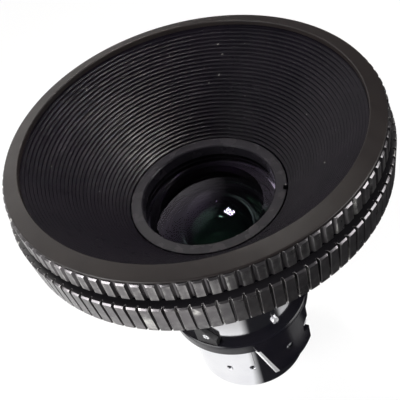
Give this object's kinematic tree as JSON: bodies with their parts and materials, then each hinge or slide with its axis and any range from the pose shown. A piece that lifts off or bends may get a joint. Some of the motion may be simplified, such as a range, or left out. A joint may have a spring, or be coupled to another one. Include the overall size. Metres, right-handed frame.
{
  "type": "projection lens",
  "caption": "Short throw projection lens with a wide ribbed hood, toothed grip rings, a slim barrel, and a flanged tail with claws for a projector's lens socket.",
  "frame": {"origin": "centre of the tail's end face, on the optical axis", "axes": "+Z along the optical axis from the tail to the hood, -Z out of the lens into the projector; the longer claw's middle lies between +X and -Y"},
  "size_m": [0.1504, 0.1504, 0.1492],
  "materials": {
    "hood_black": "satin black anodised, fine turned ribs",
    "bezel_black": "satin black, fine turned lines",
    "grip_metal": "dark grey anodised, fine matt",
    "ring_black": "satin black",
    "satin_black": "satin black",
    "polished_black": "polished black anodised",
    "cell_black": "matt black",
    "bare_metal": "machined",
    "screw_metal": "nickel plated",
    "dark_steel": "blackened",
    "front_glass": "polished, coated",
    "inner_glass": "polished, coated",
    "rear_glass": "polished, coated"
  },
  "bodies": {
    "barrel": {"main_barrel": "polished_black", "guide_keys": "bare_metal", "second_element": "inner_glass", "second_retaining_ring": "cell_black", "sleeve_stop_ring": "satin_black", "aperture_plate": "cell_black", "aperture_ring": "satin_black", "barrel_screws": "screw_metal", "mount_flange": "satin_black", "claw_screws": "screw_metal", "index_block": "cell_black", "index_screw": "screw_metal", "tail_tube": "polished_black", "tail_set_screws": "dark_steel", "rear_cell": "cell_black", "rear_element": "rear_glass", "rear_spacer": "cell_black", "doublet_flint": "inner_glass", "doublet_crown": "inner_glass", "rear_retaining_ring": "cell_black"},
    "focus_ring": {"focus_cam_sleeve": "bare_metal", "cam_cover": "satin_black", "focus_cone": "satin_black", "focus_grip_ring": "grip_metal", "cone_screws": "dark_steel"},
    "focus_carriage": {"focus_cell": "cell_black", "third_element": "inner_glass", "focus_spacer": "cell_black", "fourth_element": "inner_glass", "focus_retaining_ring": "cell_black", "focus_cam_pins": "bare_metal"},
    "front_ring": {"hood_cone": "hood_black", "front_bezel": "bezel_black", "front_grip_ring": "grip_metal", "hood_retaining_ring": "satin_black"},
    "front_carriage": {"front_cell": "cell_black", "front_element": "front_glass", "front_retaining_ring": "ring_black", "front_cam_pins": "bare_metal"}
  },
  "joints": [
    {"name": "focus_turn", "type": "hinge", "parent": "barrel", "child": "focus_ring", "pos_m": [0, 0, 0.074], "axis": [0, 0, 1], "range_deg": [-45, 45]},
    {"name": "focus_travel", "type": "slide", "parent": "barrel", "child": "focus_carriage", "axis": [0, 0, 1], "range_m": [-0.002, 0.002]},
    {"name": "front_turn", "type": "hinge", "parent": "barrel", "child": "front_ring", "pos_m": [0, 0, 0.085], "axis": [0, 0, 1], "range_deg": [-40, 40]},
    {"name": "front_travel", "type": "slide", "parent": "barrel", "child": "front_carriage", "axis": [0, 0, 1], "range_m": [-0.001, 0.001]}
  ],
  "couplings": [
    {"joint": "focus_travel", "follows": "focus_turn", "m_per_rad": 0.002546},
    {"joint": "front_travel", "follows": "front_turn", "m_per_rad": 0.001432}
  ]
}
